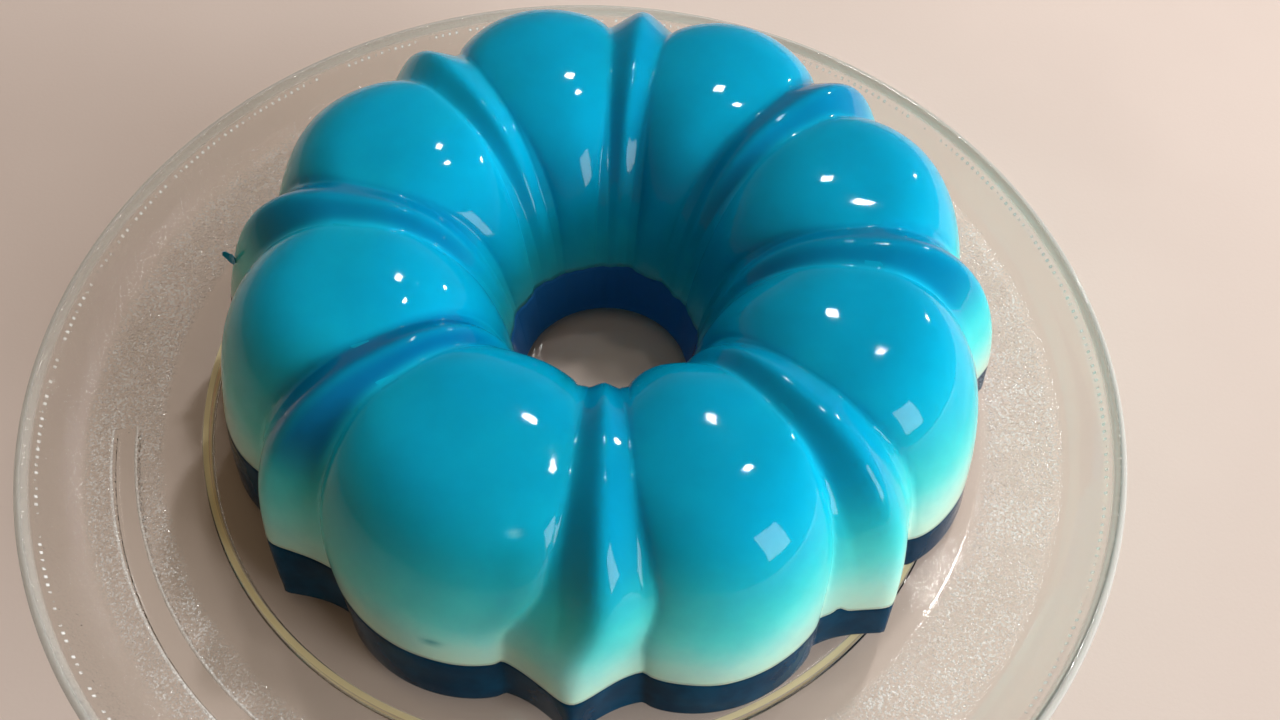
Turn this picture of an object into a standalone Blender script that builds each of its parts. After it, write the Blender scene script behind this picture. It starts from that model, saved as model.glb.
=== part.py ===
"""Moulded jelly on its glass plate.

A milk jelly, turned out of a fluted ring mould, sits on a thin layer of dark clear jelly on a
round glass turntable plate. Large round lobes alternate with narrow ridges that run from the
hole over the crown and down to a pointed foot. Units are metres, +Z is up, and the origin is
the centre of the plate at the level that its foot ring stands on.
"""
import math

import bmesh
import bpy

GAP = 0.0003                      # clearance that touching solids keep

# ---- plate --------------------------------------------------------------------------------
PLATE_RADIUS = 0.1725
PLATE_HEIGHT = 0.0172
FOOT_RISE = 0.0012                # the foot ring stands this far below the floor
FLOOR_THICKNESS = 0.0050
FLOOR_TOP = FOOT_RISE + FLOOR_THICKNESS
BEND_RADIUS = 0.1545              # where the floor turns up into the sloping rim
LIP_WIDTH = 0.0040
RING_RADIUS = 0.1186              # foot ring under the floor, which the plate stands on
RING_WIDTH = 0.0032
BAR_RADIUS = 0.1436               # long raised bar under the floor, along the rim
BAR_WIDTH = 0.0076
BAR_RISE = 0.0008
BAR_START_DEG = 189.0
BAR_END_DEG = 261.0
PLATE_SEGMENTS = 96

# ---- jelly --------------------------------------------------------------------------------
JELLY_X = 0.0091                  # the jelly sits a little off the plate's centre
JELLY_Y = 0.0075
RIDGES = 8
FRONT_RIDGE_DEG = -92.5           # direction of the ridge nearest to the front, at the foot
# turn of each ridge's crown away from its foot, anticlockwise from the front ridge
RIDGE_TWIST_DEG = (3.9, 2.1, 0.7, -0.4, -2.4, -3.5, -4.2, -5.0)
STEP_LEVELS = (0.45, 0.78)        # the front ridge turns only between these levels
CREST_RADIUS = 0.0788             # where the crown is highest
DRAFT = 0.046                     # share of its radius that the wall loses over its height

LOBE = {"foot": 0.1208, "height": 0.0647, "round": 3.5, "square": 3.05}
RIDGE = {"foot": 0.1230, "height": 0.0644, "round": 2.4, "square": 3.05}
GROOVE = {"foot": 0.1140, "height": 0.0617, "round": 1.75, "square": 3.9}

GROOVE_AT_FOOT_DEG = 9.9          # from a ridge to the groove beside it
GROOVE_AT_CROWN_DEG = 6.1
GROOVE_IN_HOLE_DEG = 12.6
GROOVE_OUTER_POWER = 2.8          # how late the grooves draw together up the wall
GROOVE_INNER_POWER = 3.5
CUSP_POWER = 2.0                  # how hollow a ridge's flanks are at the foot
CROWN_POWER = 1.3                 # and on the crown
TIP_ROUNDING = (0.04, 0.30)       # of a ridge's crest at the foot and on the crown

LEAN_X = 0.0003                   # the crown's shift from the foot
LEAN_Y = 0.0040
LEAN_POWER = 1.5
HOLE_X = -0.0003                  # the hole's shift at the foot
HOLE_Y = -0.0044
HOLE_RADIUS = 0.0265
HOLE_FLARE = 0.316                # widening of the hole from foot to crown
HOLE_ROUND = 2.9
HOLE_SQUARE = 3.1                 # a ridge or groove falls into the hole sooner than a lobe
LOBE_HOLE_SQUARE = 4.3
HOLE_FLUTE = 0.0014

LAYER_HEIGHT = 0.0180             # top of the dark layer above the plate's floor, at the middle
LAYER_TILT_X = -0.0390            # rise of that surface for each metre along +X
LAYER_TILT_Y = -0.0060

JELLY_SEGMENTS = 144              # columns round the ring, a multiple of the ridges
OUTER_ROWS = 8
INNER_ROWS = 6
DARK_ROWS = 2
PITCH_DEG = 360.0 / RIDGES


# ---- shape of the moulded ring --------------------------------------------------------------
def smooth(value):
    value = min(max(value, 0.0), 1.0)
    return value * value * (3.0 - 2.0 * value)


def ridge_turn(ridge, level):
    """How far one ridge has turned at a level from 0 at the foot to 1 at the crown."""
    if ridge == 0:
        return RIDGE_TWIST_DEG[0] * smooth((level - STEP_LEVELS[0]) / (STEP_LEVELS[1] - STEP_LEVELS[0]))
    return RIDGE_TWIST_DEG[ridge] * smooth(1.3 * level)


def ridge_offset(angle_deg, level):
    """Angle from the nearest ridge's crest, whatever the side."""
    phase = ((angle_deg - FRONT_RIDGE_DEG) / PITCH_DEG) % RIDGES
    before = int(phase) % RIDGES
    share = smooth(phase - int(phase))
    turn = ridge_turn(before, level) * (1.0 - share) + ridge_turn((before + 1) % RIDGES, level) * share
    return abs((angle_deg - turn - FRONT_RIDGE_DEG + 0.5 * PITCH_DEG) % PITCH_DEG - 0.5 * PITCH_DEG)


def flute_weights(angle_deg, level, groove_deg, blend):
    """How much of the ridge's and of the lobe's profile a direction takes at a level."""
    off = ridge_offset(angle_deg, level)
    near = min(off / groove_deg, 1.0)
    far = max((off - groove_deg) / (0.5 * PITCH_DEG - groove_deg), 0.0)
    tip = TIP_ROUNDING[0] + (TIP_ROUNDING[1] - TIP_ROUNDING[0]) * blend
    slope = (math.hypot(near, tip) - tip) / (math.hypot(1.0, tip) - tip)
    ridge = max(1.0 - slope, 0.0) ** (CUSP_POWER + (CROWN_POWER - CUSP_POWER) * blend)
    lobe = 0.55 * math.sqrt(1.0 - (1.0 - far) ** 2) + 0.45 * math.sin(0.5 * math.pi * far)
    return ridge, lobe


def crown_height(angle_deg):
    ridge, lobe = flute_weights(angle_deg, 1.0, GROOVE_AT_CROWN_DEG, 1.0)
    base = GROOVE["height"]
    return base + (LOBE["height"] - base) * lobe + (RIDGE["height"] - base) * ridge


def wall_profile(rib, level):
    """Radius of one rib's outer profile at a level."""
    foot = rib["foot"] * (1.0 - DRAFT * level)
    return CREST_RADIUS + (foot - CREST_RADIUS) * (1.0 - level ** rib["square"]) ** (1.0 / rib["round"])


def groove_angle(wide_deg, power, level):
    return GROOVE_AT_CROWN_DEG + (wide_deg - GROOVE_AT_CROWN_DEG) * (1.0 - level ** power)


def outer_radius(angle_deg, level):
    groove_deg = groove_angle(GROOVE_AT_FOOT_DEG, GROOVE_OUTER_POWER, level)
    ridge, lobe = flute_weights(angle_deg, level, groove_deg, smooth(1.6 * level))
    base = wall_profile(GROOVE, level)
    return (base + (wall_profile(LOBE, level) - base) * lobe
            + (wall_profile(RIDGE, level) - base) * ridge)


def hole_radius(angle_deg, level):
    groove_deg = groove_angle(GROOVE_IN_HOLE_DEG, GROOVE_INNER_POWER, level)
    ridge, lobe = flute_weights(angle_deg, level, groove_deg, 1.0)
    wall = HOLE_RADIUS * (1.0 + HOLE_FLARE * level) - HOLE_FLUTE * level * (ridge + lobe - 0.6)
    square = HOLE_SQUARE + (LOBE_HOLE_SQUARE - HOLE_SQUARE) * lobe
    return CREST_RADIUS - (CREST_RADIUS - wall) * (1.0 - level ** square) ** (1.0 / HOLE_ROUND)


def layer_top(x, y):
    """Height of the dark layer's top above the plate's floor."""
    return LAYER_HEIGHT + LAYER_TILT_X * (x - JELLY_X) + LAYER_TILT_Y * (y - JELLY_Y)


def jelly_point(angle_deg, radius_at, height):
    """Point of the jelly's surface in one direction, at a height above the plate's floor."""
    level = min(max(height / crown_height(angle_deg), 0.0), 1.0)
    radius = radius_at(angle_deg, level)
    angle = math.radians(angle_deg)
    lean = level ** LEAN_POWER
    low = 1.0 - level if radius_at is hole_radius else 0.0
    return (JELLY_X + radius * math.cos(angle) + LEAN_X * lean + HOLE_X * low,
            JELLY_Y + radius * math.sin(angle) + LEAN_Y * lean + HOLE_Y * low,
            FLOOR_TOP + height)


def boundary_height(angle_deg, radius_at):
    """Height at which the jelly's wall meets the dark layer's top."""
    height = LAYER_HEIGHT
    for _ in range(3):
        x, y, _z = jelly_point(angle_deg, radius_at, height)
        height = layer_top(x, y)
    return height


def milk_section(angle_deg):
    """Closed section of the milk jelly: up the wall, over the crown and down the hole."""
    crown = crown_height(angle_deg)
    outer_start = boundary_height(angle_deg, outer_radius) + GAP
    inner_start = boundary_height(angle_deg, hole_radius) + GAP
    points = []
    for row in range(OUTER_ROWS + 1):
        share = math.sin(0.5 * math.pi * row / OUTER_ROWS)
        points.append(jelly_point(angle_deg, outer_radius, outer_start + (crown - outer_start) * share))
    for row in range(INNER_ROWS - 1, -1, -1):
        share = math.sin(0.5 * math.pi * row / INNER_ROWS)
        points.append(jelly_point(angle_deg, hole_radius, inner_start + (crown - inner_start) * share))
    return points


def dark_section(angle_deg):
    """Closed section of the dark layer, from the plate up to the milk jelly."""
    outer_top = boundary_height(angle_deg, outer_radius)
    inner_top = boundary_height(angle_deg, hole_radius)
    rows = [row / DARK_ROWS for row in range(DARK_ROWS + 1)]
    outer = [jelly_point(angle_deg, outer_radius, GAP + (outer_top - GAP) * row) for row in rows]
    inner = [jelly_point(angle_deg, hole_radius, GAP + (inner_top - GAP) * row) for row in rows]
    return outer + inner[::-1]


# ---- plate ----------------------------------------------------------------------------------
def plate_profile():
    """Radius, height and share of the bar's drop for each row, from the top's middle to the foot."""
    rows = [
        (BEND_RADIUS, FLOOR_TOP, 0),
        (BEND_RADIUS + 0.0040, FLOOR_TOP + 0.0010, 0),
        (PLATE_RADIUS - 1.6 * LIP_WIDTH, PLATE_HEIGHT - 0.0045, 0),
    ]
    lip_radius = 0.5 * LIP_WIDTH
    for step in range(5):
        turn = math.radians(150.0 - 45.0 * step)
        rows.append((PLATE_RADIUS - lip_radius + lip_radius * math.cos(turn),
                     PLATE_HEIGHT - lip_radius + lip_radius * math.sin(turn), 0))
    rows.append((BEND_RADIUS + 0.0060, FOOT_RISE + 0.0022, 0))
    rows.append((BEND_RADIUS - 0.0020, FOOT_RISE, 0))
    for middle, width in ((BAR_RADIUS, BAR_WIDTH), (RING_RADIUS, RING_WIDTH)):
        is_bar = middle == BAR_RADIUS
        low = FOOT_RISE if is_bar else 0.0
        for across, height in ((0.5, FOOT_RISE), (0.35, low), (-0.35, low), (-0.5, FOOT_RISE)):
            rows.append((middle + across * width, height, int(is_bar and abs(across) < 0.5)))
    return rows


def bar_share(angle_deg):
    """1 along the raised bar, falling to 0 at its rounded ends."""
    end_deg = math.degrees(0.5 * BAR_WIDTH / BAR_RADIUS)
    inside = min(angle_deg - BAR_START_DEG, BAR_END_DEG - angle_deg)
    return min(max(inside / end_deg, 0.0), 1.0)


def make_object(name, mesh_data, material):
    mesh = bpy.data.meshes.new(name)
    mesh_data.to_mesh(mesh)
    mesh_data.free()
    mesh.materials.append(material)
    mesh.shade_smooth()
    mesh.set_sharp_from_angle(angle=math.radians(35.0))
    obj = bpy.data.objects.new(name, mesh)
    bpy.context.scene.collection.objects.link(obj)
    return obj


def make_material(name, color, roughness, transmission=0.0):
    material = bpy.data.materials.new(name)
    material.use_nodes = True
    shader = material.node_tree.nodes["Principled BSDF"]
    shader.inputs["Base Color"].default_value = (*color, 1.0)
    shader.inputs["Metallic"].default_value = 0.0
    shader.inputs["Roughness"].default_value = roughness
    shader.inputs["Transmission Weight"].default_value = transmission
    return material


def make_ring(name, section_at, material):
    """Solid ring whose section in each direction comes from section_at."""
    mesh_data = bmesh.new()
    columns = []
    for column in range(JELLY_SEGMENTS):
        angle_deg = FRONT_RIDGE_DEG + 360.0 * column / JELLY_SEGMENTS
        columns.append([mesh_data.verts.new(point) for point in section_at(angle_deg)])
    rows = len(columns[0])
    for column in range(JELLY_SEGMENTS):
        here = columns[column]
        beside = columns[(column + 1) % JELLY_SEGMENTS]
        for row in range(rows):
            above = (row + 1) % rows
            mesh_data.faces.new((here[row], beside[row], beside[above], here[above]))
    bmesh.ops.recalc_face_normals(mesh_data, faces=mesh_data.faces)
    return make_object(name, mesh_data, material)


def make_plate(material):
    """Turned glass plate with a rolled lip, and a foot ring and a bar under its floor."""
    mesh_data = bmesh.new()
    profile = plate_profile()
    top = mesh_data.verts.new((0.0, 0.0, FLOOR_TOP))
    foot = mesh_data.verts.new((0.0, 0.0, FOOT_RISE))
    columns = []
    for column in range(PLATE_SEGMENTS):
        angle_deg = 360.0 * column / PLATE_SEGMENTS
        angle = math.radians(angle_deg)
        drop = BAR_RISE * bar_share(angle_deg)
        columns.append([mesh_data.verts.new((radius * math.cos(angle), radius * math.sin(angle),
                                             height - drop * bar))
                        for radius, height, bar in profile])
    for column in range(PLATE_SEGMENTS):
        here = columns[column]
        beside = columns[(column + 1) % PLATE_SEGMENTS]
        mesh_data.faces.new((top, here[0], beside[0]))
        for row in range(len(profile) - 1):
            mesh_data.faces.new((here[row], here[row + 1], beside[row + 1], beside[row]))
        mesh_data.faces.new((foot, beside[-1], here[-1]))
    bmesh.ops.recalc_face_normals(mesh_data, faces=mesh_data.faces)
    return make_object("plate", mesh_data, material)


def main():
    for obj in list(bpy.data.objects):
        bpy.data.objects.remove(obj, do_unlink=True)
    make_plate(make_material("clear_glass", (0.93, 0.95, 0.94), 0.03, 1.0))
    make_ring("dark_layer", dark_section, make_material("dark_jelly", (0.004, 0.018, 0.040), 0.08))
    make_ring("milk_layer", milk_section, make_material("blue_milk_jelly", (0.010, 0.290, 0.480), 0.12))


main()
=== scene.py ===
"""Looks of the moulded jelly on its glass plate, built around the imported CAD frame."""
import math

import bpy
import numpy as np
from mathutils import Matrix, Vector


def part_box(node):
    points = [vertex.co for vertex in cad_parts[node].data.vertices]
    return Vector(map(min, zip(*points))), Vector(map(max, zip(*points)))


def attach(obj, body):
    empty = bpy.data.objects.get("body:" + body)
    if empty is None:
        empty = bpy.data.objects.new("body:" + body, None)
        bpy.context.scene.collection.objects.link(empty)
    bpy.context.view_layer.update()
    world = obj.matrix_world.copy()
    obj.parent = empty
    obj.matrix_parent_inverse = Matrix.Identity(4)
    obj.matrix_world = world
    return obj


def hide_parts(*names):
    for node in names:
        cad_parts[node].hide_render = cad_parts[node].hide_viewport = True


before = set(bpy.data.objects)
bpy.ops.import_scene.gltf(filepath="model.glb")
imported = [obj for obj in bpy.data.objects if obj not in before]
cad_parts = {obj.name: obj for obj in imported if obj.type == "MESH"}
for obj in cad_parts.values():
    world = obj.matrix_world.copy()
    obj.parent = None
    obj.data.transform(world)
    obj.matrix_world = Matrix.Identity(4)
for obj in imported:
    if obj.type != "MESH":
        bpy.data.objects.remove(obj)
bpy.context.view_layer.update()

# ---- places and sizes that come from the frame ---------------------------------------------
PLATE_LOW, PLATE_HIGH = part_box("plate")
DARK_LOW, DARK_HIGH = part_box("dark_layer")
PLATE_RADIUS = 0.5 * (PLATE_HIGH.x - PLATE_LOW.x)
PLATE_TOP = PLATE_HIGH.z
FLOOR_TOP = DARK_LOW.z - 0.0003          # the jelly stands 0.3 mm clear of the plate's floor in CAD

# ---- moulded ring ---------------------------------------------------------------------------
JELLY_X = 0.0091
JELLY_Y = 0.0075
RIDGES = 8
PITCH = math.tau / RIDGES
FRONT_RIDGE = math.radians(-92.5)
# how far each ridge's crown leans round from its foot, in degrees, anticlockwise from the front ridge
RIDGE_TWIST = np.radians([3.9, 2.1, 0.7, -0.4, -2.4, -3.5, -4.2, -5.0])
CREST_RADIUS = 0.0788
DRAFT = 0.046
LOBE = {"foot": 0.1208, "height": 0.0647, "round": 3.5, "square": 3.05}
RIDGE = {"foot": 0.1230, "height": 0.0644, "round": 2.4, "square": 3.05}
GROOVE = {"foot": 0.1140, "height": 0.0617, "round": 1.75, "square": 3.9}
GROOVE_AT_FOOT = math.radians(9.9)       # from a ridge to the groove beside it
GROOVE_AT_CROWN = math.radians(6.1)
GROOVE_IN_HOLE = math.radians(12.6)
GROOVE_OUTER_POWER = 2.8
GROOVE_INNER_POWER = 3.5
CUSP_POWER = 2.0
CROWN_POWER = 1.3
TIP_ROUNDING = (0.04, 0.30)              # at the foot and at the crown, as a share of a ridge's half width
STEP_LEVELS = (0.45, 0.78)               # the front ridge turns only between these levels
LEAN = (0.0003, 0.0040)
LEAN_POWER = 1.5
HOLE_RADIUS = 0.0265
HOLE_FLARE = 0.316
HOLE_ROUND = 2.9
HOLE_SQUARE = 3.1                        # a ridge or groove falls into the hole sooner than a lobe
LOBE_HOLE_SQUARE = 4.3
HOLE_FLUTE = 0.0014
HOLE_SHIFT = (-0.0003, -0.0044)
LAYER_HEIGHT = 0.0180
LAYER_TILT_X = -0.0390
LAYER_TILT_Y = -0.0060
BUBBLE_AT = math.radians(-53.7)          # a burst bubble that the dark layer has run into
BUBBLE_RISE = 0.0022
COLUMNS = 720


def smooth(value):
    value = np.clip(value, 0.0, 1.0)
    return value * value * (3.0 - 2.0 * value)


def twist(angle, level):
    """Turn of the flutes at a level, eased from one ridge to the next."""
    phase = ((angle - FRONT_RIDGE) / PITCH) % RIDGES
    before = np.floor(phase).astype(int) % RIDGES
    after = (before + 1) % RIDGES
    share = smooth(phase - before)
    even = smooth(1.3 * level)
    late = smooth((level - STEP_LEVELS[0]) / (STEP_LEVELS[1] - STEP_LEVELS[0]))
    return (RIDGE_TWIST[before] * (1.0 - share) * np.where(before == 0, late, even)
            + RIDGE_TWIST[after] * share * np.where(after == 0, late, even))


def ridge_offset(angle, level):
    """Signed angle from the nearest ridge's crest."""
    turned = angle - twist(angle, level)
    return (turned - FRONT_RIDGE + 0.5 * PITCH) % PITCH - 0.5 * PITCH


def weights(angle, level, groove, blend):
    """Shares of the ridge and lobe profiles along a direction."""
    off = np.abs(ridge_offset(angle, level))
    near = np.clip(off / groove, 0.0, 1.0)
    far = np.clip((off - groove) / (0.5 * PITCH - groove), 0.0, 1.0)
    tip = TIP_ROUNDING[0] + (TIP_ROUNDING[1] - TIP_ROUNDING[0]) * blend
    slope = (np.hypot(near, tip) - tip) / (np.hypot(1.0, tip) - tip)
    ridge = (1.0 - slope) ** (CUSP_POWER + (CROWN_POWER - CUSP_POWER) * blend)
    lobe = 0.55 * np.sqrt(1.0 - (1.0 - far) ** 2) + 0.45 * np.sin(0.5 * math.pi * far)
    return ridge, lobe


def crown_height(angle):
    ridge, lobe = weights(angle, 1.0, GROOVE_AT_CROWN, 1.0)
    base = GROOVE["height"]
    return base + (LOBE["height"] - base) * lobe + (RIDGE["height"] - base) * ridge


def wall_profile(rib, level):
    foot = rib["foot"] * (1.0 - DRAFT * level)
    return CREST_RADIUS + (foot - CREST_RADIUS) * (1.0 - level ** rib["square"]) ** (1.0 / rib["round"])


def outer_groove(level):
    return GROOVE_AT_CROWN + (GROOVE_AT_FOOT - GROOVE_AT_CROWN) * (1.0 - level ** GROOVE_OUTER_POWER)


def inner_groove(level):
    return GROOVE_AT_CROWN + (GROOVE_IN_HOLE - GROOVE_AT_CROWN) * (1.0 - level ** GROOVE_INNER_POWER)


def outer_radius(angle, level):
    groove = outer_groove(level)
    ridge, lobe = weights(angle, level, groove, smooth(1.6 * level))
    base = wall_profile(GROOVE, level)
    return (base + (wall_profile(LOBE, level) - base) * lobe
            + (wall_profile(RIDGE, level) - base) * ridge)


def hole_radius(angle, level):
    ridge, lobe = weights(angle, level, inner_groove(level), 1.0)
    wall = HOLE_RADIUS * (1.0 + HOLE_FLARE * level) - HOLE_FLUTE * level * (ridge + lobe - 0.6)
    square = HOLE_SQUARE + (LOBE_HOLE_SQUARE - HOLE_SQUARE) * lobe
    return CREST_RADIUS - (CREST_RADIUS - wall) * (1.0 - level ** square) ** (1.0 / HOLE_ROUND)


def place(angle, radius_at, height):
    """Points of the jelly's surface at heights above the plate's floor."""
    level = np.clip(height / crown_height(angle), 0.0, 1.0)
    radius = radius_at(angle, level)
    uneven = 0.00014 * np.sin(6 * angle + 60.0 * height + 0.4) + 0.00010 * np.sin(17 * angle - 110.0 * height)
    radius = radius + uneven * np.clip(height / 0.004, 0.0, 1.0)
    lean = level ** LEAN_POWER
    shift = (1.0 - level) if radius_at is hole_radius else 0.0
    x = JELLY_X + radius * np.cos(angle) + LEAN[0] * lean + HOLE_SHIFT[0] * shift
    y = JELLY_Y + radius * np.sin(angle) + LEAN[1] * lean + HOLE_SHIFT[1] * shift
    return np.stack([x, y, FLOOR_TOP + height + 0.0 * radius], axis=-1)


def layer_top(x, y):
    return LAYER_HEIGHT + LAYER_TILT_X * (x - JELLY_X) + LAYER_TILT_Y * (y - JELLY_Y)


def boundary(angle, radius_at):
    """Height at which the wall meets the top of the dark layer, with its gentle waves."""
    height = LAYER_HEIGHT + 0.0 * angle
    for _ in range(5):
        points = place(angle, radius_at, height)
        height = layer_top(points[:, 0], points[:, 1])
    waves = (0.00035 * np.sin(5 * angle + 0.7) + 0.0003 * np.sin(13 * angle + 2.1)
             + 0.00018 * np.sin(41 * angle + 0.3) * np.sin(3 * angle))
    if radius_at is outer_radius:
        waves = waves + BUBBLE_RISE * np.exp(-((angle - BUBBLE_AT) / 0.014) ** 2)
    return height + waves


# ---- meshes -----------------------------------------------------------------------------------
def link(name, mesh):
    obj = bpy.data.objects.new(name, mesh)
    bpy.context.scene.collection.objects.link(obj)
    return obj


def ring_mesh(name, rows):
    """Closed ring from rows of points, each row going once round; the last row joins the first."""
    grid = np.stack(rows)
    count, columns = grid.shape[:2]
    index = np.arange(count * columns).reshape(count, columns)
    beside = np.roll(index, -1, axis=1)
    above = np.roll(index, -1, axis=0)
    across = np.roll(beside, -1, axis=0)
    faces = np.stack([index, beside, across, above], axis=-1).reshape(-1, 4)
    mesh = bpy.data.meshes.new(name)
    mesh.from_pydata(grid.reshape(-1, 3).tolist(), [], faces.tolist())
    mesh.shade_smooth()
    mesh.update()
    return link(name, mesh)


RIDGE_SHADE = np.array([0.45, 0.35, 0.80, 0.85, 0.35, 0.00, 0.85, 1.20])   # how dark the painted shade on each ridge's flanks is
RIDGE_LINE = np.array([-1, -1, -1, -1, 0, 1, 1, 1])                         # side of its painted glow line


def flute_tints(angle, level, radius, groove):
    """Shares of painted shade and of the thin painted glow line along the flutes."""
    off = ridge_offset(angle, level)
    ridge = np.round(((angle - FRONT_RIDGE) / PITCH) % RIDGES).astype(int) % RIDGES
    high = smooth((level - 0.66) / 0.24)
    inside = smooth((1.25 - np.abs(off) / groove) / 0.5)
    crest = np.exp(-(off * radius / 0.0018) ** 2)
    side = RIDGE_LINE[ridge]
    # painted glow line along the groove on one side of each ridge
    line = np.exp(-((np.abs(off) - groove) * radius / 0.0018) ** 2)
    line *= np.where(side == 0, 0.4, np.where(np.sign(off) == side, 1.0, 0.12))
    # painted shade on each ridge's flanks, kept off the crest and the glow line
    shade = RIDGE_SHADE[ridge] * inside * (1.0 - 0.45 * crest) * (1.0 - line) * high
    # painted shade on the lobe's flank beside the front ridge
    shade_beside_front = np.exp(-((off + 0.20) / 0.055) ** 2) * np.where(ridge == 0, 0.65, 0.0)
    shade_beside_front *= smooth((level - 0.42) / 0.22) * (1.0 - smooth((level - 0.86) / 0.12))
    return shade, line * high, shade_beside_front


NICK = (-0.0099, -0.0836, 0.0665)                 # a pale shallow nick on the front-left lobe
STAIN = (-0.0327, -0.1005, 0.0347)                # a spot of stronger dye above the front-left foot
DIMPLE = (0.0137, 0.0396, 0.0397)                 # a shallow dimple in the hole's back wall


def nearness(points, centre, size):
    """1 at a centre, falling off over the three half sizes."""
    return np.exp(-sum(((points[..., axis] - centre[axis]) / size[axis]) ** 2 for axis in range(3)))


def dent(points):
    """The nick and the dimple, pressed into the surface."""
    points[..., 2] -= 0.0005 * nearness(points, NICK, (0.0022, 0.0009, 0.004))
    points[..., 1] += 0.0009 * nearness(points, DIMPLE, (0.0018, 0.006, 0.0022))
    return points


def milk_rows(angle):
    """Rows of points over the pale layer, each with its shares of painted shade and painted glow line."""
    crown = crown_height(angle)
    outer_rows, inner_rows = 58, 46
    steps = [(outer_radius, outer_groove, row / outer_rows) for row in range(outer_rows + 1)]
    steps += [(hole_radius, inner_groove, row / inner_rows) for row in range(inner_rows - 1, -1, -1)]
    foot = {outer_radius: boundary(angle, outer_radius), hole_radius: boundary(angle, hole_radius)}
    rows, tints = [], []
    for radius_at, groove_at, share in steps:
        height = foot[radius_at] + (crown - foot[radius_at]) * math.sin(0.5 * math.pi * share)
        level = height / crown
        points = dent(place(angle, radius_at, height))
        rows.append(points)
        shade, line, beside = flute_tints(angle, level, radius_at(angle, level), groove_at(level))
        # a real dye stain plus the painted shade beside the front ridge
        dye_stain_and_shade = nearness(points, STAIN, (0.0026, 0.004, 0.0011)) + beside
        pale = nearness(points, NICK, (0.0015, 0.0007, 0.004))
        tints.append((shade, line, dye_stain_and_shade, pale))
    return rows, np.array(tints)


SINK = 0.0002                                     # the jelly's foot reaches just into the glass


def dark_rows(angle):
    outer = boundary(angle, outer_radius)
    inner = boundary(angle, hole_radius)
    rows = []
    count, corner = 20, 0.0016
    shares = [(row / count) ** 1.5 for row in range(count + 1)]
    for radius_at, top, inward in ((outer_radius, outer, -1.0), (hole_radius, inner, 1.0)):
        for share in (shares if radius_at is outer_radius else shares[::-1]):
            height = top * share
            points = place(angle, radius_at, height)
            inset = corner * (1.0 - np.sqrt(1.0 - (1.0 - np.clip(height / corner, 0.0, 1.0)) ** 2))
            points[..., 0] += inward * inset * np.cos(angle)
            points[..., 1] += inward * inset * np.sin(angle)
            points[..., 2] -= SINK * (1.0 - share)
            rows.append(points)
    return rows


def revolve(name, profile, columns=720, edit=None):
    """Closed turned mesh from a profile of (radius, height) that starts and ends on the axis."""
    angle = np.linspace(0.0, math.tau, columns, endpoint=False)
    inner = np.array([point for point in profile if point[0] > 1e-6])
    grid = np.stack([inner[:, :1] * np.cos(angle), inner[:, :1] * np.sin(angle),
                     inner[:, 1:] + 0.0 * angle], axis=-1)
    if edit:
        grid = edit(grid)
    count = len(inner)
    index = np.arange(count * columns).reshape(count, columns)
    here, beside = index[:-1], np.roll(index, -1, axis=1)[:-1]
    above, across = index[1:], np.roll(index, -1, axis=1)[1:]
    faces = np.stack([here, above, across, beside], axis=-1).reshape(-1, 4).tolist()
    points = grid.reshape(-1, 3).tolist()
    top, foot = len(points), len(points) + 1
    points += [(0.0, 0.0, profile[0][1]), (0.0, 0.0, profile[-1][1])]
    for column in range(columns):
        after = (column + 1) % columns
        faces.append([top, int(index[0, column]), int(index[0, after])])
        faces.append([foot, int(index[-1, after]), int(index[-1, column])])
    mesh = bpy.data.meshes.new(name)
    mesh.from_pydata(points, [], faces)
    mesh.shade_smooth()
    mesh.update()
    return link(name, mesh)


# ---- plate's sizes ----------------------------------------------------------------------
LIP_WIDTH = 0.0040
UNDERSIDE = 0.0012
BAR_RADIUS = 0.1436
BAR_WIDTH = 0.0076
BAR_RISE = 0.0008
BAR_START = math.radians(189.0)
BAR_END = math.radians(261.0)
DOTS = 380                                        # glass beads in a row round the rim
DOT_RADIUS = 0.1667


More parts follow.
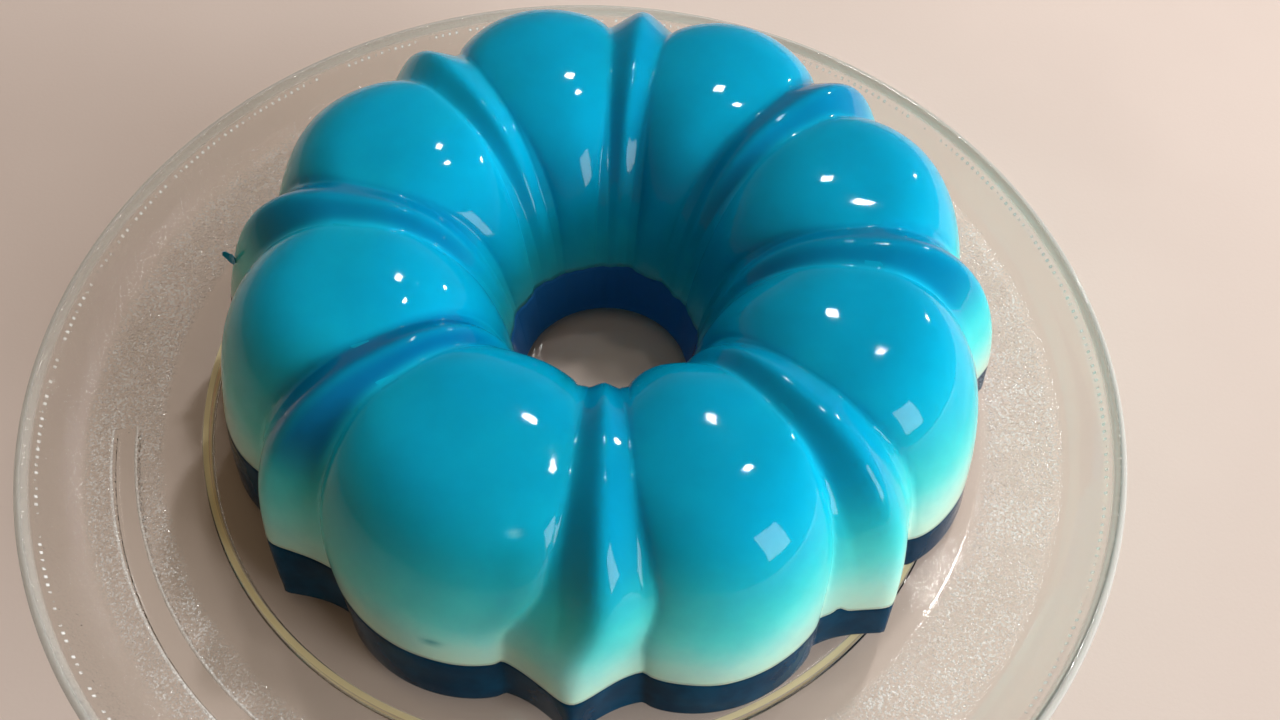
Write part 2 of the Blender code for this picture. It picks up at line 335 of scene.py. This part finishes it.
# ---- materials ----------------------------------------------------------------------------------
class Graph:
    """Short way of wiring one material's nodes."""

    def __init__(self, name):
        self.material = bpy.data.materials.new(name)
        self.material.use_nodes = True
        self.nodes = self.material.node_tree.nodes
        self.links = self.material.node_tree.links
        self.shader = self.nodes["Principled BSDF"]
        self.coords = self.nodes.new("ShaderNodeTexCoord").outputs["Object"]

    def plug(self, socket, value):
        if isinstance(value, bpy.types.NodeSocket):
            self.links.new(value, socket)
        else:
            socket.default_value = value

    def math(self, operation, *values):
        made = self.nodes.new("ShaderNodeMath")
        made.operation = operation
        for socket, value in zip(made.inputs, values):
            self.plug(socket, value)
        return made.outputs[0]

    def dot(self, vector):
        made = self.nodes.new("ShaderNodeVectorMath")
        made.operation = "DOT_PRODUCT"
        self.plug(made.inputs[0], self.coords)
        made.inputs[1].default_value = vector
        return made.outputs["Value"]

    def radius(self, x=0.0, y=0.0):
        """Distance in metres from an upright axis."""
        flat = self.nodes.new("ShaderNodeVectorMath")
        flat.operation = "MULTIPLY_ADD"
        self.plug(flat.inputs[0], self.coords)
        flat.inputs[1].default_value = (1.0, 1.0, 0.0)
        flat.inputs[2].default_value = (-x, -y, 0.0)
        length = self.nodes.new("ShaderNodeVectorMath")
        length.operation = "LENGTH"
        self.links.new(flat.outputs[0], length.inputs[0])
        return length.outputs["Value"]

    def span(self, value, low, high, to_low=0.0, to_high=1.0, kind="SMOOTHSTEP"):
        made = self.nodes.new("ShaderNodeMapRange")
        made.interpolation_type = kind
        self.plug(made.inputs["Value"], value)
        for socket, number in zip(("From Min", "From Max", "To Min", "To Max"), (low, high, to_low, to_high)):
            made.inputs[socket].default_value = number
        return made.outputs[0]

    def angle(self):
        """Direction round the plate's axis, from -pi to pi."""
        return self.math("ARCTAN2", self.dot((0.0, 1.0, 0.0)), self.dot((1.0, 0.0, 0.0)))

    def product(self, first, *others):
        for other in others:
            first = self.math("MULTIPLY", first, other)
        return first

    def noise(self, scale, detail=3.0, rough=0.55, stretch=None):
        made = self.nodes.new("ShaderNodeTexNoise")
        made.inputs["Scale"].default_value = scale
        made.inputs["Detail"].default_value = detail
        made.inputs["Roughness"].default_value = rough
        vector = self.coords
        if stretch:
            mapping = self.nodes.new("ShaderNodeMapping")
            mapping.inputs["Scale"].default_value = stretch
            self.links.new(self.coords, mapping.inputs[0])
            vector = mapping.outputs[0]
        self.links.new(vector, made.inputs["Vector"])
        return made.outputs["Fac"]

    def cells(self, scale, feature="F1", randomness=1.0):
        made = self.nodes.new("ShaderNodeTexVoronoi")
        made.feature = feature
        made.inputs["Scale"].default_value = scale
        made.inputs["Randomness"].default_value = randomness
        self.links.new(self.coords, made.inputs["Vector"])
        return made.outputs["Distance"]

    def ramp(self, value, stops):
        made = self.nodes.new("ShaderNodeValToRGB")
        made.color_ramp.interpolation = "B_SPLINE"
        elements = made.color_ramp.elements
        while len(elements) < len(stops):
            elements.new(0.5)
        for element, (position, color) in zip(elements, stops):
            element.position = position
            element.color = color
        self.links.new(value, made.inputs[0])
        return made.outputs[0]

    def mix(self, share, first, second, kind="MIX"):
        made = self.nodes.new("ShaderNodeMix")
        made.data_type = "RGBA"
        made.blend_type = kind
        self.plug(made.inputs["Factor"], share)
        self.plug(made.inputs[6], first)
        self.plug(made.inputs[7], second)
        return made.outputs[2]

    def attribute(self, name):
        made = self.nodes.new("ShaderNodeAttribute")
        made.attribute_name = name
        return made.outputs["Fac"]

    def bump(self, height, distance, strength=1.0, normal=None):
        made = self.nodes.new("ShaderNodeBump")
        made.inputs["Strength"].default_value = strength
        made.inputs["Distance"].default_value = distance
        self.plug(made.inputs["Height"], height)
        if normal:
            self.links.new(normal, made.inputs["Normal"])
        return made.outputs[0]

    def set(self, **values):
        for name, value in values.items():
            self.plug(self.shader.inputs[name.replace("_", " ").title().replace("Ior", "IOR")], value)


def srgb(red, green, blue):
    """Linear colour of an 8-bit screen colour."""
    def channel(value):
        value /= 255.0
        return value / 12.92 if value <= 0.04045 else ((value + 0.055) / 1.055) ** 2.4
    return (channel(red), channel(green), channel(blue), 1.0)


def milk_material():
    graph = Graph("blue_milk_jelly")
    graph.shader.subsurface_method = "BURLEY"
    height = graph.math("SUBTRACT", graph.dot((-LAYER_TILT_X, -LAYER_TILT_Y, 1.0)),
                        FLOOR_TOP + LAYER_HEIGHT - LAYER_TILT_X * JELLY_X - LAYER_TILT_Y * JELLY_Y)
    cloud = graph.noise(38.0, 3.0, 0.5)
    height = graph.math("MULTIPLY_ADD", graph.math("SUBTRACT", cloud, 0.5), 0.009, height)
    inside = graph.span(graph.radius(JELLY_X, JELLY_Y), 0.070, 0.046, 0.0, 0.020)
    height = graph.math("ADD", height, inside)
    height = graph.math("ADD", height, graph.span(graph.dot((0.0, 1.0, 0.0)), 0.02, 0.11, 0.0010, 0.0042))
    height = graph.math("ADD", height, graph.span(graph.dot((1.0, 0.0, 0.0)), 0.0, -0.10, 0.0, 0.0020))
    height = graph.math("SUBTRACT", height, graph.span(graph.dot((1.0, -0.5, 0.0)), 0.09, 0.14, 0.0, 0.0035))
    share = graph.span(height, 0.0, 0.050, kind="LINEAR")
    color = graph.ramp(share, [
        (0.00, srgb(182, 210, 190)), (0.20, srgb(142, 210, 198)), (0.36, srgb(80, 204, 198)),
        (0.54, srgb(40, 188, 190)), (0.74, srgb(8, 170, 194)), (1.00, srgb(1, 153, 196))])
    veins = graph.span(graph.noise(90.0, 3.0, 0.6), 0.35, 0.7, 0.0, 0.10)
    color = graph.mix(veins, color, srgb(0, 120, 160))
    # painted shade darkening the colour low in the hole
    hole_shade = graph.span(graph.radius(JELLY_X, JELLY_Y), 0.052, 0.032, 0.0, 0.45)
    color = graph.mix(hole_shade, color, srgb(6, 120, 150))
    # painted shade on the ridges' flanks
    color = graph.mix(graph.math("MULTIPLY", graph.attribute("painted_ridge_shade"), 0.75), color, srgb(0, 92, 142))
    # painted glow line along the grooves
    color = graph.mix(graph.math("MULTIPLY", graph.attribute("painted_glow_line"), 0.28), color, srgb(24, 186, 226))
    # real dye stain and painted shade beside the front ridge
    color = graph.mix(graph.math("MULTIPLY", graph.attribute("dye_stain_and_shade"), 0.8), color, srgb(6, 122, 130))
    color = graph.mix(graph.math("MULTIPLY", graph.attribute("pale_mark"), 0.7), color, srgb(120, 196, 206))
    graph.set(base_color=color, roughness=graph.span(graph.noise(160.0, 2.0), 0.3, 0.7, 0.035, 0.075),
              ior=1.36, subsurface_weight=0.75, subsurface_radius=(0.15, 0.7, 1.0), subsurface_scale=0.005)
    graph.set(normal=graph.bump(graph.noise(75.0, 3.0, 0.5), 0.0004, 0.25))
    return graph.material


def dark_material():
    graph = Graph("dark_jelly")
    cloud = graph.span(graph.noise(70.0, 4.0), 0.35, 0.7)
    color = graph.mix(cloud, (0.0012, 0.022, 0.050, 1.0), (0.002, 0.042, 0.088, 1.0))
    color = graph.mix(graph.span(graph.radius(JELLY_X, JELLY_Y), 0.070, 0.050), color, (0.014, 0.115, 0.310, 1.0))
    graph.set(base_color=color, roughness=graph.span(graph.noise(120.0, 2.0), 0.3, 0.7, 0.05, 0.12),
              ior=1.36, specular_ior_level=0.08)
    graph.set(normal=graph.bump(graph.noise(90.0, 3.0, 0.5), 0.0005, 0.4))
    return graph.material


def glass_material():
    graph = Graph("clear_glass")
    from_axis = graph.radius()
    angle = graph.angle()
    bar = graph.product(graph.span(from_axis, BAR_RADIUS - 0.5 * BAR_WIDTH, BAR_RADIUS - 0.4 * BAR_WIDTH),
                        graph.span(from_axis, BAR_RADIUS + 0.5 * BAR_WIDTH, BAR_RADIUS + 0.4 * BAR_WIDTH),
                        graph.span(angle, BAR_START - math.tau - 0.01, BAR_START - math.tau),
                        graph.span(angle, BAR_END - math.tau + 0.01, BAR_END - math.tau))
    band = graph.product(graph.span(from_axis, 0.1300, 0.1345), graph.span(from_axis, 0.1565, 0.1530),
                         graph.span(bar, 0.0, 1.0, 1.0, 0.0))
    # painted yellow glow in the foot ring, standing in for light carried along the glass
    ring = graph.product(graph.span(from_axis, 0.1174, 0.1179), graph.span(from_axis, 0.1198, 0.1193))
    # painted pale line on the lip, standing in for the light the rim catches
    lip = graph.span(from_axis, 0.1694, 0.1708)
    # painted white glints on the row of beads round the rim
    place_in_row = graph.math("FRACT", graph.math("MULTIPLY", angle, DOTS / math.tau))
    dot_glints = graph.product(
        graph.span(graph.math("ABSOLUTE", graph.math("SUBTRACT", place_in_row, 0.5)), 0.22, 0.12),
        graph.span(graph.math("ABSOLUTE", graph.math("SUBTRACT", from_axis, DOT_RADIUS)), 0.0005, 0.0002),
        graph.span(graph.noise(260.0, 1.0), 0.38, 0.55))
    height = graph.dot((0.0, 0.0, 1.0))          # painted glints, the painted bar-edge highlight and the frost go on the upper face only, where the light falls on them
    dot_glints = graph.product(dot_glints, graph.span(height, 0.0108, 0.0112))
    # painted highlight along the bar's edges
    off_bar = graph.math("ABSOLUTE", graph.math("SUBTRACT", from_axis, BAR_RADIUS))
    bar_edge_highlight = graph.product(graph.span(height, 0.0040, 0.0050), graph.span(off_bar, 0.0031, 0.0035), graph.span(off_bar, 0.0043, 0.0039),
                             graph.span(angle, BAR_START - math.tau - 0.01, BAR_START - math.tau),
                             graph.span(angle, BAR_END - math.tau + 0.01, BAR_END - math.tau))
    fleck = graph.span(graph.noise(1250.0, 2.0, 0.7), 0.48, 0.60)
    thick = graph.span(graph.noise(90.0, 3.0), 0.30, 0.65, 0.35, 1.0)
    frost = graph.product(band, fleck, thick, graph.span(height, 0.0040, 0.0050))
    slope = graph.product(graph.span(graph.dot((1.0, 0.0, 0.0)), 0.02, -0.04), graph.span(from_axis, 0.1530, 0.1560))
    coarse = graph.math("ADD", graph.math("MULTIPLY_ADD", slope, 0.35, 0.015), band)
    grain = graph.math("MULTIPLY", graph.noise(1000.0, 2.0, 0.7), coarse)
    waves = graph.noise(30.0, 2.0)
    normal = graph.bump(grain, 0.00052, 1.0)
    color = graph.mix(graph.noise(20.0), (0.90, 0.88, 0.84, 1.0), (0.86, 0.85, 0.82, 1.0))
    color = graph.mix(frost, color, (0.96, 0.95, 0.93, 1.0))
    # painted glow of the foot ring
    color = graph.mix(ring, color, (1.0, 0.88, 0.52, 1.0))
    # painted pale rim line
    color = graph.mix(lip, color, (0.74, 0.71, 0.66, 1.0))
    # painted glints on the beads and painted highlight on the bar's edges
    color = graph.mix(graph.math("MAXIMUM", dot_glints, bar_edge_highlight), color, (1.0, 0.98, 0.95, 1.0))
    clear = graph.math("SUBTRACT", 1.0, graph.math("MULTIPLY", frost, 0.55))
    clear = graph.math("SUBTRACT", clear, graph.math("MULTIPLY", ring, 0.70))
    clear = graph.math("SUBTRACT", clear, graph.math("MULTIPLY", lip, 0.55))
    clear = graph.math("SUBTRACT", clear, graph.math("MULTIPLY", bar_edge_highlight, 0.45))
    clear = graph.math("MAXIMUM", graph.math("SUBTRACT", clear, graph.math("MULTIPLY", dot_glints, 0.9)), 0.0)
    rough = graph.span(waves, 0.3, 0.7, 0.02, 0.05)
    graph.set(base_color=color, roughness=rough, ior=1.47, transmission_weight=clear, normal=normal)
    return graph.material


def floor_material():
    graph = Graph("floor_cloth")
    weave = graph.noise(700.0, 3.0, 0.6)
    color = graph.mix(graph.span(graph.noise(6.0, 3.0), 0.3, 0.7), srgb(226, 208, 198), srgb(221, 203, 193))
    graph.set(base_color=color, roughness=graph.span(weave, 0.3, 0.7, 0.82, 0.95),
              normal=graph.bump(weave, 0.0002, 0.2))
    return graph.material


# ---- pieces -------------------------------------------------------------------------------------
def finish_piece(piece, material, node):
    piece.data.materials.append(material)
    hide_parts(node)
    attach(piece, "root")


def make_jelly():
    angle = FRONT_RIDGE + np.linspace(0.0, math.tau, COLUMNS, endpoint=False)
    rows, tints = milk_rows(angle)
    milk = ring_mesh("milk_jelly", rows)
    for index, name in enumerate(("painted_ridge_shade", "painted_glow_line", "dye_stain_and_shade", "pale_mark")):
        attribute = milk.data.attributes.new(name, "FLOAT", "POINT")
        attribute.data.foreach_set("value", tints[:, index].astype(np.float32).ravel())
    finish_piece(milk, milk_material(), "milk_layer")
    finish_piece(ring_mesh("dark_jelly_layer", dark_rows(angle)), dark_material(), "dark_layer")


def make_flake():
    """The torn scrap that sticks out of the left lobe's wall, as a thin curled tongue."""
    foot, reach, tall, thick = (-0.1056, 0.0172, 0.0425), 0.0034, 0.0052, 0.0010
    length, round_rows = 14, 16
    points, faces = [], []
    for step in range(length + 1):
        share = step / length
        width = 0.5 * tall * (1.0 - 0.75 * share ** 1.6)
        half = 0.5 * thick * (1.0 - 0.55 * share)
        centre = (foot[0] - reach * share, foot[1] + 0.0010 * math.sin(2.6 * share),
                  foot[2] + 0.0036 * share ** 1.8 + 0.0004 * math.sin(9.0 * share))
        for turn in range(round_rows):
            around = math.tau * turn / round_rows
            across = math.cos(around) * (1.0 + 0.10 * math.sin(3.0 * around + 4.0 * share))
            points.append((centre[0] + 0.25 * width * across * share, centre[1] + half * math.sin(around) + 0.3 * width * across * share,
                           centre[2] + width * across))
    for step in range(length):
        for turn in range(round_rows):
            here, beside = step * round_rows + turn, step * round_rows + (turn + 1) % round_rows
            faces.append((here, beside, beside + round_rows, here + round_rows))
    faces.append(tuple(range(round_rows - 1, -1, -1)))
    faces.append(tuple(range(length * round_rows, (length + 1) * round_rows)))
    mesh = bpy.data.meshes.new("torn_flake")
    mesh.from_pydata(points, [], faces)
    mesh.shade_smooth()
    flake = link("torn_flake", mesh)
    flake.data.materials.append(bpy.data.materials["blue_milk_jelly"])
    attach(flake, "root")


def plate_profile():
    lip = LIP_WIDTH
    rows = [(0.0, FLOOR_TOP), (0.02, FLOOR_TOP), (0.1180, FLOOR_TOP), (0.1525, FLOOR_TOP)]
    bend, wall_low, wall_high = 0.1540, FLOOR_TOP, PLATE_TOP - 0.0040
    for step in range(0, 13):
        share = step / 12
        radius = bend + share * (PLATE_RADIUS - 1.45 * lip - bend)
        rows.append((radius, wall_low + 0.0002 + (wall_high - wall_low) * share ** 1.35))
    for step in range(0, 15):
        turn = math.radians(160.0 - 12.0 * step)
        rows.append((PLATE_RADIUS - 0.5 * lip + 0.5 * lip * math.cos(turn),
                     PLATE_TOP - 0.5 * lip + 0.5 * lip * math.sin(turn)))
    rows += [(0.1690, PLATE_TOP - 0.0052), (0.1640, 0.0066), (0.1600, 0.0034), (0.1560, 0.0016), (0.1530, UNDERSIDE)]
    for step in range(0, 15):
        rows.append((BAR_RADIUS + BAR_WIDTH * (0.7 - 0.1 * step), UNDERSIDE))
    rows += [(0.1210, UNDERSIDE), (0.1202, UNDERSIDE), (0.1199, 0.0002), (0.1190, 0.0), (0.1181, 0.0),
             (0.1173, 0.0002), (0.1170, UNDERSIDE), (0.1160, UNDERSIDE), (0.02, UNDERSIDE), (0.0, UNDERSIDE)]
    return rows


def raise_bar(grid):
    """Presses the long rounded bar into the underside of the plate."""
    radius = np.hypot(grid[..., 0], grid[..., 1])
    angle = np.arctan2(grid[..., 1], grid[..., 0]) % math.tau
    beyond = np.maximum(np.maximum(BAR_START - angle, angle - BAR_END), 0.0) * BAR_RADIUS
    off = np.hypot(radius - BAR_RADIUS, beyond) / (0.5 * BAR_WIDTH)
    under = grid[..., 2] < UNDERSIDE + 1e-5
    grid[..., 2] -= np.where(under, BAR_RISE * np.clip(1.0 - off ** 4, 0.0, 1.0), 0.0)
    return grid


def make_plate():
    plate = revolve("glass_plate", plate_profile(), edit=raise_bar)
    plate.visible_shadow = False             # the cloth below is lit as if through clear glass, without noise
    plate.visible_diffuse = False
    finish_piece(plate, glass_material(), "plate")


# ---- stage ----------------------------------------------------------------------------------------
LIGHT_TARGET = Vector((0.0091, 0.0075, 0.045))


def area_light(name, azimuth, elevation, distance, width, height, radiance, color=(1, 1, 1), glossy=True):
    """Rectangular lamp facing the jelly; its brightness is given as radiance, so size sets its power."""
    light = bpy.data.lights.new(name, "AREA")
    light.shape = "RECTANGLE"
    light.size = width
    light.size_y = height
    light.energy = radiance * width * height * math.pi
    light.color = color
    obj = bpy.data.objects.new(name, light)
    bpy.context.scene.collection.objects.link(obj)
    azimuth, elevation = math.radians(azimuth), math.radians(elevation)
    direction = Vector((math.cos(elevation) * math.cos(azimuth), math.cos(elevation) * math.sin(azimuth),
                        math.sin(elevation)))
    obj.location = LIGHT_TARGET + direction * distance
    obj.rotation_euler = direction.to_track_quat("Z", "Y").to_euler()
    obj.visible_glossy = glossy
    return obj


def make_stage():
    mesh = bpy.data.meshes.new("floor")
    mesh.from_pydata([(-3, -3, 0), (3, -3, 0), (3, 3, 0), (-3, 3, 0)], [], [(0, 1, 2, 3)])
    floor = link("floor", mesh)
    floor.data.materials.append(floor_material())
    world = bpy.data.worlds.new("soft_world")
    bpy.context.scene.world = world
    world.use_nodes = True
    world.node_tree.nodes["Background"].inputs["Color"].default_value = (1.0, 0.76, 0.50, 1.0)
    tree = world.node_tree
    direction = tree.nodes.new("ShaderNodeSeparateXYZ")
    tree.links.new(tree.nodes.new("ShaderNodeTexCoord").outputs["Generated"], direction.inputs[0])
    haze = tree.nodes.new("ShaderNodeMapRange")         # pale walls low down, a darker ceiling above
    haze.inputs["From Min"].default_value, haze.inputs["From Max"].default_value = 0.0, 0.50
    haze.inputs["To Min"].default_value, haze.inputs["To Max"].default_value = 0.26, 0.090
    tree.links.new(direction.outputs["Z"], haze.inputs["Value"])
    tree.links.new(haze.outputs[0], tree.nodes["Background"].inputs["Strength"])
    area_light("ceiling", 10, 75, 1.5, 1.6, 1.6, 0.31, (1.0, 0.80, 0.56), glossy=False)
    area_light("key", 64, 50, 2.0, 0.14, 0.14, 188.0, (0.97, 0.98, 1.0), glossy=False)
    area_light("right_side", 22, 24, 1.5, 1.05, 0.9, 2.6, (0.98, 0.99, 1.0), glossy=False)
    area_light("front_side", -16, 11, 2.2, 1.76, 0.75, 12.0, (0.93, 1.0, 1.05), glossy=False)
    area_light("lamp_back", 81, 53, 2.0, 0.13, 0.13, 60.0, (1.0, 0.98, 0.95))
    area_light("lamp_top", 60, 62, 2.0, 0.10, 0.10, 70.0, (1.0, 0.98, 0.95))
    area_light("lamp_right", 44, 28, 2.0, 0.10, 0.10, 70.0, (1.0, 0.98, 0.95))
    area_light("window", -37, 25, 1.6, 0.52, 0.80, 5.6, (0.95, 0.98, 1.0))


CAMERA_PITCH = math.radians(56.06)
CAMERA_ROLL = math.radians(1.51)
CAMERA_PLACE = Vector((0.01994, -0.21573, 0.34073))
CAMERA_LENS = 34.34


def make_camera():
    data = bpy.data.cameras.new("camera")
    data.lens = CAMERA_LENS
    data.sensor_width = 36.0
    camera = bpy.data.objects.new("camera", data)
    bpy.context.scene.collection.objects.link(camera)
    forward = Vector((0.0, math.cos(CAMERA_PITCH), -math.sin(CAMERA_PITCH)))
    right = Vector((1.0, 0.0, 0.0))
    down = forward.cross(right)
    side = right * math.cos(CAMERA_ROLL) - down * math.sin(CAMERA_ROLL)
    lower = right * math.sin(CAMERA_ROLL) + down * math.cos(CAMERA_ROLL)
    camera.matrix_world = Matrix((
        (side.x, -lower.x, -forward.x, CAMERA_PLACE.x),
        (side.y, -lower.y, -forward.y, CAMERA_PLACE.y),
        (side.z, -lower.z, -forward.z, CAMERA_PLACE.z),
        (0.0, 0.0, 0.0, 1.0)))
    bpy.context.scene.camera = camera


make_jelly()
make_flake()
make_plate()
make_stage()
make_camera()
bpy.context.scene.view_settings.view_transform = "Standard"
